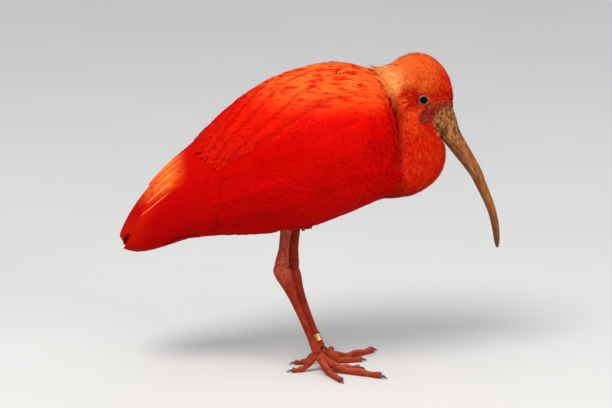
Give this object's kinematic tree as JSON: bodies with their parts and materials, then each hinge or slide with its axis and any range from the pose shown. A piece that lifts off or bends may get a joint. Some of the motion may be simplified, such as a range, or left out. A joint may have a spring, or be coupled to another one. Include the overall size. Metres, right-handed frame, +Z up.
{
  "type": "scarlet ibis",
  "caption": "Standing life-size scarlet ibis with its neck drawn in, wings folded and a long down-curved bill held low.",
  "frame": {"origin": "on the floor, under the middle of the model's own box", "axes": "+X towards the way the bird faces, +Y towards its left side, +Z up"},
  "size_m": [0.381, 0.1278, 0.3199],
  "materials": {
    "plumage": "matte",
    "bare_skin": "satin",
    "horn": "satin",
    "claw_horn": "satin",
    "eye": "gloss",
    "ring_metal": "satin"
  },
  "bodies": {
    "root": {"trunk": "plumage", "wing_left": "plumage", "wing_right": "plumage", "tail": "plumage", "neck_lower": "plumage", "neck_upper": "plumage", "head": "plumage", "eye_left": "eye", "eye_right": "eye", "bill_upper": "horn", "bill_lower": "horn", "shin_left": "bare_skin", "shin_right": "bare_skin", "tarsus_left": "bare_skin", "tarsus_right": "bare_skin", "foot_left": "bare_skin", "foot_right": "bare_skin", "toe_middle_left": "bare_skin", "toe_inner_left": "bare_skin", "toe_outer_left": "bare_skin", "toe_hind_left": "bare_skin", "toe_middle_right": "bare_skin", "toe_inner_right": "bare_skin", "toe_outer_right": "bare_skin", "toe_hind_right": "bare_skin", "claw_middle_left": "claw_horn", "claw_inner_left": "claw_horn", "claw_outer_left": "claw_horn", "claw_hind_left": "claw_horn", "claw_middle_right": "claw_horn", "claw_inner_right": "claw_horn", "claw_outer_right": "claw_horn", "claw_hind_right": "claw_horn", "leg_ring": "ring_metal"}
  },
  "joints": []
}
